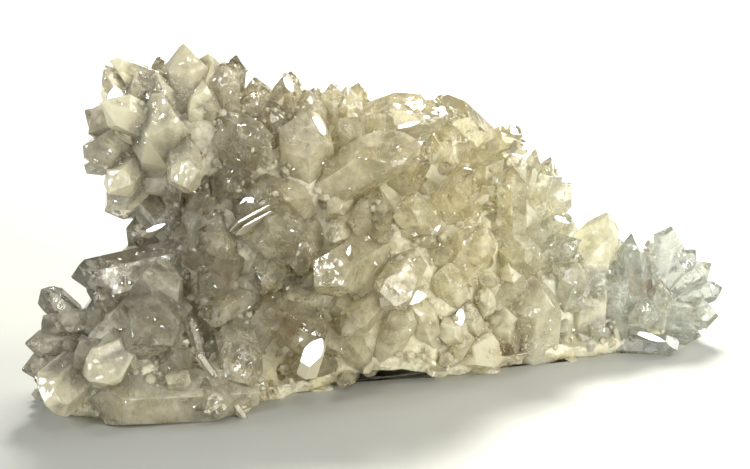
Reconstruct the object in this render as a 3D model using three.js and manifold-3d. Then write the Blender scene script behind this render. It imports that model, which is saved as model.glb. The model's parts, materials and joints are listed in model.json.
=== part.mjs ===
// A cluster of rock crystal: some hundred and fifty six-sided quartz points grown together on a lumpy
// milky base, which is broken off flat underneath and rests on that break.
// Millimetres, +Z up. X runs along the cluster, the front looks along -Y.
import * as THREE from "three";
import Module from "manifold-3d";
import { mergeVertices } from "three/addons/utils/BufferGeometryUtils.js";

const wasm = await Module();
wasm.setup();

// Quartz: the angle between a tip face and the plane square to the crystal's length.
const tipSlope = THREE.MathUtils.degToRad(51.79);
const sides = 6;

// How far each of the six tip faces is set out, as a share of the crystal's width.
// A face that is set out is smaller, and one that is set in takes over the tip.
const habits = {
  even: [0, 0.03, 0, 0.04, 0.02, 0],
  threeFaced: [0, 0.2, 0.02, 0.24, 0, 0.22],
  oneFaced: [-0.2, 0.1, 0.22, 0.3, 0.18, 0.08],
  chisel: [0, 0.22, 0.3, 0.02, 0.26, 0.2],
  blunt: [-0.08, 0.06, -0.1, 0.1, -0.06, 0.05],
};
const habitNames = Object.keys(habits);

// Where the front is looked at from: a little above, from a hand's reach away. Places on the front
// are "across" and "up" in the plane square to that line, through the middle of the cluster.
const sight = {
  lift: THREE.MathUtils.degToRad(15),
  distance: 600,
  middle: new THREE.Vector3(0, 12.8, 48),
  middleUp: 49.6,
};
const toRight = new THREE.Vector3(1, 0, 0);
const toTop = new THREE.Vector3(0, Math.sin(sight.lift), Math.cos(sight.lift));
const awayFromEye = new THREE.Vector3(0, Math.cos(sight.lift), -Math.sin(sight.lift));
const eye = sight.middle.clone().addScaledVector(awayFromEye, -sight.distance);

// The milky mass that the crystals grow from: rounded lumps, each [x, y, z, three radii].
const lumps = {
  lowerLeft: [-74, -2, 6, 25, 21, 24],
  foot: [-50, -4, 2, 17, 15, 16],
  neck: [-44, 24, 16, 24, 22, 46],
  upperLeft: [-58, 34, 72, 23, 22, 20],
  ridge: [-28, 38, 60, 30, 24, 24],
  centre: [-2, 38, 24, 42, 30, 50],
  centreRight: [36, 56, 12, 32, 24, 42],
  right: [74, 64, 4, 25, 17, 26],
  backCentre: [-12, 60, 18, 48, 24, 48],
  backRight: [44, 74, 6, 38, 17, 30],
  backLeft: [-54, 50, 18, 22, 22, 46],
};

// The base plate, seen from above, and the low hollow under its front edge.
const plateOutline = [
  [-95, -10], [-84, -20], [-52, -20], [-30, -2], [-12, 10], [18, 18], [48, 30], [72, 40],
  [93, 50], [94, 70], [70, 88], [20, 90], [-34, 82], [-70, 66], [-90, 30],
];
const plate = { thick: 4, edge: 2, sunk: 2 };
const lumpRoughness = 0.09;
const hollow = { x: 3, y: 14, halfWide: 13, halfDeep: 13, high: 4.5 };

// The points on the front, group by group:
// [root across, root up, tip across, tip up, lean towards the eye in degrees, width, habit, turn],
// and for a crystal that stands behind its neighbours, how far it is set back.
const frontPoints = {
  lowerLeft: [
    [-91, 25, -101, 34, 10, 10, "blunt", 10],
    [-91, 21, -100, 23, 40, 8, "threeFaced", 35],
    [-92, 17, -105, 17, 15, 9, "even", 0],
    [-86, 24, -94, 23, 45, 8, "chisel", 20],
    [-80, 31, -87, 20, 35, 10, "threeFaced", 0],
    [-60, 40, -90, 33, 18, 18, "oneFaced", 200],
    [-65, 25, -72, 17, 62, 24, "threeFaced", 40],
    [-76, 15, -83, 8, 50, 14, "oneFaced", 25],
    [-62, 9, -56, 15, 40, 9, "even", 5],
    [-48, 2, -88, 0, 6, 19, "blunt", 30],
    [-89, 8, -101, -2, 30, 17, "oneFaced", 180],
    [-96, 11, -106, 9, 5, 9, "even", 15],
    [-41, -3, -54, 15, 10, 3, "even", 0],
    [-53, 15, -56, 26, 10, 4, "blunt", 0],
    [-72, 20, -77, 27, 45, 9, "threeFaced", 10],
    [-80, 12, -90, 14, 35, 12, "threeFaced", 20],
    [-46, 2, -52, -4, 45, 11, "blunt", 0],
  ],
  lowerMiddle: [
    [-43, 21, -38, 4, 45, 15, "blunt", 20],
    [-38, 16, -27, 32, 12, 11, "chisel", 0],
    [-31, 26, -14, 16, 28, 14, "oneFaced", 20],
    [-25, 6, -38, 1, 30, 13, "blunt", 0],
    [-14, 12, -26, 8, 25, 11, "even", 10],
    [-8, 16, -20, 22, 35, 10, "threeFaced", 0],
    [-5, 14, -11, 22, 25, 11, "even", 20],
  ],
  leftColumn: [
    [-53, 53, -55, 38, 15, 9, "blunt", 0],
    [-43, 42, -52, 31, 35, 12, "threeFaced", 20],
    [-37, 33, -51, 24, 14, 10, "chisel", 0],
    [-31, 43, -34, 34, 55, 12, "even", 30],
    [-48, 52, -45, 42, 35, 10, "even", 0],
    [-37, 54, -23, 46, 45, 19, "threeFaced", 10],
    [-38, 60, -27, 66, 15, 10, "even", 0],
    [-22, 58, -28, 65, 40, 10, "oneFaced", 0],
    [-43, 69, -45, 60, 40, 12, "blunt", 15],
    [-20, 50, -25, 40, 35, 13, "chisel", 10],
  ],
  upperMiddle: [
    [-44, 80, -34, 74, 50, 17, "threeFaced", 0],
    [-21, 72, -21, 86, 25, 20, "threeFaced", 10],
    [-13, 64, 10, 79, 16, 18, "oneFaced", 200],
    [-6, 80, 20, 89, 8, 17, "oneFaced", 190],
    [38, 72, 20, 89, 0, 12, "oneFaced", 0, 8],
    [31, 74, 44, 80, 0, 11, "chisel", 20, 10],
    [33, 66, 33, 77, 15, 9, "blunt", 0],
    [22, 67, 22, 85, 5, 15, "even", 10, 8],
    [17, 68, 17, 81, 5, 13, "chisel", 0, 8],
    [8, 65, 15, 78, 30, 12, "threeFaced", 0],
    [16, 52, 7, 60, 40, 13, "blunt", 10],
    [20, 57, 32, 66, 32, 15, "oneFaced", 0],
    [-30, 78, -31, 88, 35, 10, "chisel", 0],
    [-10, 76, -5, 85, 30, 11, "even", 0],
  ],
  centre: [
    [-1, 45, -18, 34, 30, 17, "threeFaced", 15],
    [0, 30, -10, 19, 25, 11, "even", 0],
    [4, 17, 11, 29, 22, 11, "chisel", 10],
    [16, 21, 12, 31, 35, 10, "oneFaced", 0],
    [26, 40, 33, 53, 30, 15, "even", 20],
    [37, 50, 49, 38, 30, 13, "threeFaced", 0],
    [24, 32, 19, 40, 40, 12, "blunt", 0],
    [32, 18, 25, 30, 30, 9, "even", 10],
    [37, 30, 31, 37, 45, 10, "even", 0],
    [28, 16, 20, 23, 45, 9, "threeFaced", 20],
    [43, 33, 40, 41, 40, 9, "even", 0],
    [41, 45, 41, 71, 12, 11, "even", 0],
    [10, 40, 4, 30, 40, 14, "chisel", 20],
  ],
  rightSide: [
    [49, 57, 53, 73, 3, 11, "even", 15],
    [51, 56, 59, 65, 12, 11, "threeFaced", 0],
    [46, 48, 59, 54, 8, 9, "chisel", 0],
    [49, 42, 62, 48, 8, 10, "even", 20],
    [47, 15, 49, 38, 18, 20, "blunt", 0],
    [38, 15, 37, 31, 28, 16, "blunt", 20],
    [63, 17, 66, 55, 5, 18, "oneFaced", 215],
    [79, 20, 77, 50, 2, 12, "even", 20],
    [66, 15, 61, 20, 35, 8, "even", 0],
    [71, 17, 91, 16, 12, 8, "chisel", 0],
    [73, 22, 72, 42, 12, 9, "even", 5],
    [57, 30, 61, 41, 20, 11, "threeFaced", 0],
  ],
  rightEnd: [
    [86, 34, 89, 52, 3, 13, "threeFaced", 0],
    [84, 37, 82, 48, 0, 9, "even", 10],
    [86, 34, 97, 46, 12, 12, "blunt", 0],
    [87, 32, 101, 41, 10, 10, "even", 20],
    [89, 29, 105, 34, 10, 8, "blunt", 0],
    [88, 27, 103, 25, 12, 12, "threeFaced", 0],
    [87, 22, 98, 19, 10, 10, "even", 0],
    [82, 30, 79, 22, 50, 10, "threeFaced", 0],
    [84, 22, 86, 36, 22, 10, "even", 30],
  ],
  upperLeft: [
    [-73, 86, -81, 100, 8, 8, "chisel", 0],
    [-60, 92, -80, 99, 5, 11, "oneFaced", 200],
    [-72, 84, -75, 96, 20, 11, "oneFaced", 190],
    [-56, 90, -57.5, 107, 0, 15, "even", 20],
    [-50, 92, -50, 105.5, 0, 14, "blunt", 0],
    [-43, 91, -41.5, 103.5, 0, 9, "even", 0],
    [-45, 88, -46, 101, 10, 12, "threeFaced", 0],
    [-64, 88, -66, 100, 5, 15, "blunt", 10],
    [-80, 82, -87, 87, 5, 8, "even", 0],
    [-77, 85, -86, 80, 30, 13, "even", 0],
    [-76, 77, -87, 70, 32, 14, "threeFaced", 20],
    [-72, 70, -80, 62, 35, 12, "even", 10],
    [-65, 75, -62, 89, 25, 18, "chisel", 30],
    [-71, 65, -80, 57, 14, 11, "threeFaced", 0],
    [-67, 60, -59, 51, 28, 11, "chisel", 0],
    [-67, 55, -74, 46, 12, 9, "even", 0],
    [-58, 75, -56, 63, 48, 12, "blunt", 0],
    [-51, 63, -55, 50, 28, 10, "even", 10],
  ],
  topRidge: [
    [-27, 84, -28, 97.5, 8, 12, "oneFaced", 200],
    [-34, 84, -36, 97, 5, 15, "even", 10],
    [-20, 83, -20, 94.5, 5, 14, "blunt", 0],
    [-12, 84, -13, 95, 5, 9, "even", 0],
    [-8, 82, -8, 93, 8, 13, "chisel", 0],
    [-5, 86, -5, 96, 3, 7, "blunt", 0],
    [2, 80, 2, 91, 5, 12, "even", 20],
  ],
};

// The cluster's outline on the front, going round from the top of its left end. The points that
// cover the mass between the ones above keep inside it.
const frontOutline = [
  [-82, 100], [-76, 100], [-67, 101], [-58, 107], [-50, 106], [-42, 104], [-37, 98], [-27, 98],
  [-13, 95], [-5, 96], [8, 88], [19, 91], [38, 84], [45, 79], [52, 73], [58, 65], [57, 58],
  [62, 54], [66, 53], [71, 52], [76, 49], [81, 47], [88, 52], [97, 47], [101, 41], [105, 34],
  [103, 25], [98, 19], [93, 13], [50, 9], [20, 6], [-8, 5], [-22, 1], [-52, -8], [-88, -9],
  [-104, -3], [-106, 10], [-103, 24], [-101, 34], [-90, 37], [-80, 46], [-74, 44], [-76, 52],
  [-81, 56], [-87, 72], [-87, 87], [-83, 90],
];

// The points that cover the mass elsewhere: the places tried round each lump, evenly spread,
// and the points' sizes.
const scattered = {
  seed: 20,
  placesRound: {
    lowerLeft: 14, neck: 8, upperLeft: 16, ridge: 14, centre: 16, centreRight: 16,
    right: 14, backCentre: 31, backRight: 18, backLeft: 18,
  },
  width: [12, 22],
  lengthInWidths: [0.5, 1.3],
  spreadDegrees: 20,
  lowest: 7,
  frontShare: 0.1,
};
const goldenAngle = Math.PI * (3 - Math.sqrt(5));
const rooted = { widths: 0.45, extra: 4, pinched: 0.5, sunk: 0.3 };
const taper = 0.86;
const shoulderSunk = 0.4;

// A repeatable stream of numbers from 0 to 1.
function dice(seed) {
  let state = seed >>> 0;
  return () => {
    state = (Math.imul(state, 1664525) + 1013904223) >>> 0;
    return state / 4294967296;
  };
}

function solidOf(geometry) {
  geometry.deleteAttribute("normal");
  geometry.deleteAttribute("uv");
  const merged = mergeVertices(geometry, 1e-4);
  return new wasm.Manifold(
    new wasm.Mesh({
      numProp: 3,
      vertProperties: merged.attributes.position.array,
      triVerts: new Uint32Array(merged.index.array),
    }),
  );
}

function geometryOf(solid) {
  const { vertProperties, triVerts } = solid.getMesh();
  return new THREE.BufferGeometry()
    .setAttribute("position", new THREE.BufferAttribute(vertProperties, 3))
    .setIndex(new THREE.BufferAttribute(triVerts, 1));
}

// A six-sided shank that narrows a little towards the tip, and more towards its buried end.
function shank(width, length, buried) {
  const inner = width / 2;
  const rings = [[inner * rooted.pinched, -length], [inner, buried - length], [inner * taper, length]];
  const shape = new THREE.CylinderGeometry(1, 1, 2, sides, 2)
    .rotateX(Math.PI / 2)
    .rotateZ(Math.PI / 2 + Math.PI / sides);
  const corners = shape.attributes.position;
  for (let i = 0; i < corners.count; i++) {
    const [radius, height] = rings[Math.round(corners.getZ(i)) + 1];
    corners.setXYZ(i, corners.getX(i) * radius, corners.getY(i) * radius, height);
  }
  return solidOf(shape);
}

// A quartz point along +Z with its tip at the origin and its root at z = -length.
// One flat of the prism faces +X, and the tip faces stand over the flats.
function crystal({ width, length, buried, habit, flatness }) {
  let solid = shank(width, length, buried);
  habits[habit].forEach((setOut, face) => {
    const turn = (face * 2 * Math.PI) / sides;
    const outwards = [
      Math.sin(tipSlope) * Math.cos(turn),
      Math.sin(tipSlope) * Math.sin(turn),
      Math.cos(tipSlope),
    ];
    solid = solid.trimByPlane(outwards.map((n) => -n), -setOut * width * Math.sin(tipSlope));
  });
  return solid.scale([1, flatness, 1]);
}

// The same point with its root and tip in place, buried at the root.
function grow(root, tip, width, habit, turnDegrees, flatness) {
  const along = tip.clone().sub(root);
  const buried = rooted.widths * width + rooted.extra;
  const length = along.length() + buried;
  const placed = new THREE.Matrix4().makeRotationFromQuaternion(
    new THREE.Quaternion().setFromUnitVectors(new THREE.Vector3(0, 0, 1), along.normalize()),
  );
  placed.multiply(new THREE.Matrix4().makeRotationZ(THREE.MathUtils.degToRad(turnDegrees)));
  placed.setPosition(tip);
  return crystal({ width, length, buried, habit, flatness }).transform(placed.elements);
}

// A place seen at (across, up), some way beyond the plane of sight.
function seen(across, up, beyond) {
  const spread = (sight.distance + beyond) / sight.distance;
  return sight.middle
    .clone()
    .addScaledVector(awayFromEye, beyond)
    .addScaledVector(toRight, across * spread)
    .addScaledVector(toTop, (up - sight.middleUp) * spread);
}

// Where a place in space is seen, as [across, up].
function seenAt(place) {
  const offset = place.clone().sub(sight.middle);
  const shrink = sight.distance / (sight.distance + offset.dot(awayFromEye));
  return [offset.dot(toRight) * shrink, offset.dot(toTop) * shrink + sight.middleUp];
}

// How far beyond the plane of sight the line through (across, up) meets the mass, or, where it
// misses, passes closest to it.
function depthOfMass(across, up) {
  const line = seen(across, up, 0).sub(eye);
  let hit = Infinity;
  let closest = { miss: Infinity, share: 1 };
  for (const [x, y, z, rx, ry, rz] of Object.values(lumps)) {
    const radii = new THREE.Vector3(rx, ry, rz);
    const from = eye.clone().sub(new THREE.Vector3(x, y, z)).divide(radii);
    const step = line.clone().divide(radii);
    const share = -from.dot(step) / step.lengthSq();
    const miss = from.addScaledVector(step, share).lengthSq();
    if (miss < 1) hit = Math.min(hit, share - Math.sqrt((1 - miss) / step.lengthSq()));
    if (miss < closest.miss) closest = { miss, share };
  }
  return ((hit < Infinity ? hit : closest.share) - 1) * sight.distance;
}

// A crystal on the front stands on the mass at its root. It leans out as stated, or further where
// it would sink into the mass half way along.
function frontPoint([rootAcross, rootUp, tipAcross, tipUp, lean, width, habit, turn, back = 0]) {
  const run = Math.hypot(tipAcross - rootAcross, tipUp - rootUp);
  const beyond = depthOfMass(rootAcross, rootUp) + back;
  const halfWay = depthOfMass((rootAcross + tipAcross) / 2, (rootUp + tipUp) / 2) + back;
  const clearing = 2 * (beyond - halfWay) - shoulderSunk * width;
  const rise = Math.max(run * Math.tan(THREE.MathUtils.degToRad(lean)), clearing);
  const root = seen(rootAcross, rootUp, beyond + rooted.sunk * width);
  const tip = seen(tipAcross, tipUp, beyond - rise);
  return grow(root, tip, width, habit, turn, 1);
}

function insideFrontOutline(place) {
  const [across, up] = seenAt(place);
  let inside = false;
  frontOutline.forEach(([fromAcross, fromUp], i) => {
    const [toAcross, toUp] = frontOutline[(i + 1) % frontOutline.length];
    const crossing = fromAcross + ((up - fromUp) / (toUp - fromUp)) * (toAcross - fromAcross);
    if (fromUp > up !== toUp > up && across < crossing) inside = !inside;
  });
  return inside;
}

function insideAnother(point, own) {
  return Object.entries(lumps).some(([name, [x, y, z, rx, ry, rz]]) => {
    if (name === own) return false;
    return Math.hypot((point.x - x) / rx, (point.y - y) / ry, (point.z - z) / rz) < 0.97;
  });
}

function scatteredPoints() {
  const roll = dice(scattered.seed);
  const between = ([low, high]) => low + (high - low) * roll();
  const spread = Math.tan(THREE.MathUtils.degToRad(scattered.spreadDegrees));
  const made = [];
  for (const [name, places] of Object.entries(scattered.placesRound)) {
    const [x, y, z, rx, ry, rz] = lumps[name];
    for (let place = 0; place < places; place++) {
      const height = 1 - (2 * place + 1) / places;
      const round = goldenAngle * place + roll();
      const flat = Math.sqrt(1 - height * height);
      const unit = new THREE.Vector3(flat * Math.cos(round), flat * Math.sin(round), height);
      const root = new THREE.Vector3(x + rx * unit.x, y + ry * unit.y, z + rz * unit.z);
      const onFront = unit.y < -0.15;
      if (root.z < scattered.lowest || insideAnother(root, name)) continue;
      if (onFront && roll() > scattered.frontShare) continue;
      const outwards = unit.divide(new THREE.Vector3(rx, ry, rz)).normalize();
      const jitter = new THREE.Vector3(roll() - 0.5, roll() - 0.5, roll() - 0.5);
      outwards.addScaledVector(jitter, 2 * spread).normalize();
      outwards.setZ(Math.max(outwards.z, root.z < 30 ? 0.15 : -0.25)).normalize();
      const width = between(scattered.width) * (onFront ? 0.6 : 1);
      const length = between(scattered.lengthInWidths) * width;
      const habit = habitNames[Math.floor(roll() * habitNames.length)];
      const tip = root.clone().addScaledVector(outwards, length);
      if (!insideFrontOutline(tip)) continue;
      made.push(grow(root, tip, width, habit, 60 * roll(), 0.8 + 0.2 * roll()));
    }
  }
  return made;
}

// A lump is a ball of flat faces whose corners stand in and out at random, like broken stone.
function lump([x, y, z, rx, ry, rz], roll) {
  const ball = new THREE.IcosahedronGeometry(1, 1);
  ball.deleteAttribute("normal");
  ball.deleteAttribute("uv");
  const rough = mergeVertices(ball, 1e-4);
  const corners = rough.attributes.position;
  for (let i = 0; i < corners.count; i++) {
    const reach = 1 + lumpRoughness * (2 * roll() - 1);
    corners.setXYZ(i, corners.getX(i) * reach, corners.getY(i) * reach, corners.getZ(i) * reach);
  }
  return solidOf(rough.scale(rx, ry, rz).translate(x, y, z));
}

function milkyMass() {
  const roll = dice(7);
  const pieces = Object.values(lumps).map((sizes) => lump(sizes, roll));
  const outline = new THREE.Shape(plateOutline.map(([x, y]) => new THREE.Vector2(x, y)));
  const slab = new THREE.ExtrudeGeometry(outline, {
    depth: plate.thick,
    bevelSize: plate.edge,
    bevelThickness: plate.edge,
    bevelSegments: 1,
  }).translate(0, 0, -plate.sunk);
  return wasm.Manifold.union([...pieces, solidOf(slab)]);
}

function underHollow() {
  const { x, y, halfWide, halfDeep, high } = hollow;
  return solidOf(new THREE.SphereGeometry(1, 12, 8).scale(halfWide, halfDeep, high).translate(x, y, 0));
}

const points = Object.values(frontPoints).flat().map(frontPoint);
const pieces = wasm.Manifold.union([milkyMass(), ...points, ...scatteredPoints()])
  .subtract(underHollow())
  .trimByPlane([0, 0, 1], 0)
  .simplify(0.4)
  .decompose();
const grown = pieces.sort((a, b) => b.volume() - a.volume())[0];
const { min, max } = grown.boundingBox();
const centred = grown.translate([-(min[0] + max[0]) / 2, -(min[1] + max[1]) / 2, 0]);

const quartz = new THREE.MeshStandardMaterial({ color: "#c9c4b0", roughness: 0.12, metalness: 0 });
const cluster = new THREE.Mesh(geometryOf(centred), quartz);
cluster.name = "quartz_cluster";

const group = new THREE.Group();
group.add(cluster);
export default group;
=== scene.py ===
# A quartz cluster in its finished look: clear six-sided crystals on a milky, broken base, with fine
# druse between them. Lengths in the tables are millimetres, before the part's centring.
import json
import math
import random

import bmesh
import bpy
from mathutils import Matrix, Vector
from mathutils.bvhtree import BVHTree

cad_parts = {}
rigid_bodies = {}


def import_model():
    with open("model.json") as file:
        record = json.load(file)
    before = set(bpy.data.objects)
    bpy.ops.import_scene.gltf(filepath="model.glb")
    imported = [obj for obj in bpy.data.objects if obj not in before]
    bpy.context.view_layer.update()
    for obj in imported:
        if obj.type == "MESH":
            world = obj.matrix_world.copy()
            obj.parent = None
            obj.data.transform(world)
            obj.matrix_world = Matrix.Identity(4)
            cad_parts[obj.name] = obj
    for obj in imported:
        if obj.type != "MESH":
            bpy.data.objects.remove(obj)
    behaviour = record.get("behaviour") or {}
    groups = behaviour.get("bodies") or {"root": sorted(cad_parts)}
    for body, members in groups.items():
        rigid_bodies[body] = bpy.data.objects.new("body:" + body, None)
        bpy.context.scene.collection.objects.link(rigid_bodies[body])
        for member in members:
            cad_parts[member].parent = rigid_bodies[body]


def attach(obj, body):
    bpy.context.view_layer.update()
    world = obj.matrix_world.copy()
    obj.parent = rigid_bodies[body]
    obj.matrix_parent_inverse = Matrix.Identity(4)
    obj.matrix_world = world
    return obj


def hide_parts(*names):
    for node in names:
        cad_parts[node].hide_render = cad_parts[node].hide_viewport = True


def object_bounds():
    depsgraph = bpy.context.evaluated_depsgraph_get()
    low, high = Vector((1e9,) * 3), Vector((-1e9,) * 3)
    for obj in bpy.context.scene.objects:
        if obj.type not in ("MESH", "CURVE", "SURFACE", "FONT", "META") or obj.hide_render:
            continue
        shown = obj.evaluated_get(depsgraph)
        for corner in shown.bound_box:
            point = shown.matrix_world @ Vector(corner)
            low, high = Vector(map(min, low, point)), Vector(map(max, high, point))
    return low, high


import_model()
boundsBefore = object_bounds()
print("frame loaded")

mm = 0.001
up = Vector((0, 0, 1))
centring = Vector((5.158, 36.296, 0))  # the part's own move to the middle of its box

# The plane of sight the front is laid out in, the same as the part's.
sight = {
    "lift": math.radians(15),
    "distance": 600,
    "photoWidth": 750,
    "mmToPixel": 0.3,
    "sensor": 36,
    "middle": Vector((0, 12.8, 48)),
    "middleUp": 49.6,
}
toRight = Vector((1, 0, 0))
toTop = Vector((0, math.sin(sight["lift"]), math.cos(sight["lift"])))
awayFromEye = Vector((0, math.cos(sight["lift"]), -math.sin(sight["lift"])))
eye = sight["middle"] - awayFromEye * sight["distance"]


# sRGB hex to linear, as r, g, b and 1
def rgb(hexColour):
    parts = [int(hexColour[i : i + 2], 16) / 255 for i in (1, 3, 5)]
    return tuple(c / 12.92 if c <= 0.04045 else ((c + 0.055) / 1.055) ** 2.4 for c in parts) + (1,)


# millimetres before centring to the frame's metres
def placed(point):
    return (Vector(point) - centring) * mm


toFrame = Matrix.Scale(mm, 4) @ Matrix.Translation(-centring)
backToTable = toFrame.inverted()


# The lights, each by its direction from the cluster, distance, size, watts and colour: soft ones
# behind, above and at the right, small ones that make the crystals flash, and low cards in front.
lamps = {
    "overhead": ((0.12, 0.8, 0.82), 1.17, 0.35, 33.0, "#fffdf6"),
    "sideLight": ((0.9, 0.4, 0.5), 0.9, 0.4, 5.0, "#fffef8"),
    "window": ((-0.5, -0.62, 0.6), 1.0, 0.14, 2.6, "#f4f8ff"),
    "lampLeft": ((-0.85, -0.2, 0.55), 1.0, 0.12, 1.2, "#ffffff"),
    "lampRight": ((0.7, -0.65, 0.45), 1.0, 0.12, 1.2, "#ffffff"),
    "lampFront": ((0.1, -0.6, 0.85), 1.0, 0.12, 1.2, "#ffffff"),
    "cardRight": ((0.6, -0.8, 0.15), 0.9, 0.5, 5.6, "#fffdf2"),
    "cardLeft": ((-0.5, -0.85, 0.15), 0.9, 0.5, 1.1, "#fdfdff"),
}
lampMiddle = Vector((0, 0, 0.04))
flashingLamps = ("window", "lampLeft", "lampRight", "lampFront")


def lampPlace(name):
    direction, distance = lamps[name][:2]
    return lampMiddle + Vector(direction).normalized() * distance


# Quartz geometry: the tip faces' slope, and how far each is set out, in crystal widths.
quartz = {
    "tipSlope": math.radians(51.79),
    "habits": {
        "even": (0, 0.03, 0, 0.04, 0.02, 0),
        "threeFaced": (0, 0.2, 0.02, 0.24, 0, 0.22),
        "oneFaced": (-0.2, 0.1, 0.22, 0.3, 0.18, 0.08),
        "chisel": (0, 0.22, 0.3, 0.02, 0.26, 0.2),
        "blunt": (-0.08, 0.06, -0.1, 0.1, -0.06, 0.05),
    },
    "masterLength": 6,
    "bareTo": -5.5,
    "shortestBare": 0.95,
    "rootedWidths": 0.45,
    "rootedExtra": 4,
    "pinched": 0.5,
    "sunk": 0.3,
    "shoulderSunk": 0.4,
    "endNarrowing": 0.07,
    "chamfer": 0.011,
    "ledges": (-0.78, -0.95, -1.3, -1.52, -1.9),
    "ledgeStep": 0.012,
    "ledgedFrom": 2.0,
}

# The milky mass: rounded lumps, each x, y, z and three radii.
lumps = {
    "lowerLeft": (-74, -2, 6, 25, 21, 24),
    "foot": (-50, -4, 2, 17, 15, 16),
    "neck": (-44, 24, 16, 24, 22, 46),
    "upperLeft": (-58, 34, 72, 23, 22, 20),
    "ridge": (-28, 38, 60, 30, 24, 24),
    "centre": (-2, 38, 24, 42, 30, 50),
    "centreRight": (36, 56, 12, 32, 24, 42),
    "right": (74, 64, 4, 25, 17, 26),
    "backCentre": (-12, 60, 18, 48, 24, 48),
    "backRight": (44, 74, 6, 38, 17, 30),
    "backLeft": (-54, 50, 18, 22, 22, 46),
}

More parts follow.
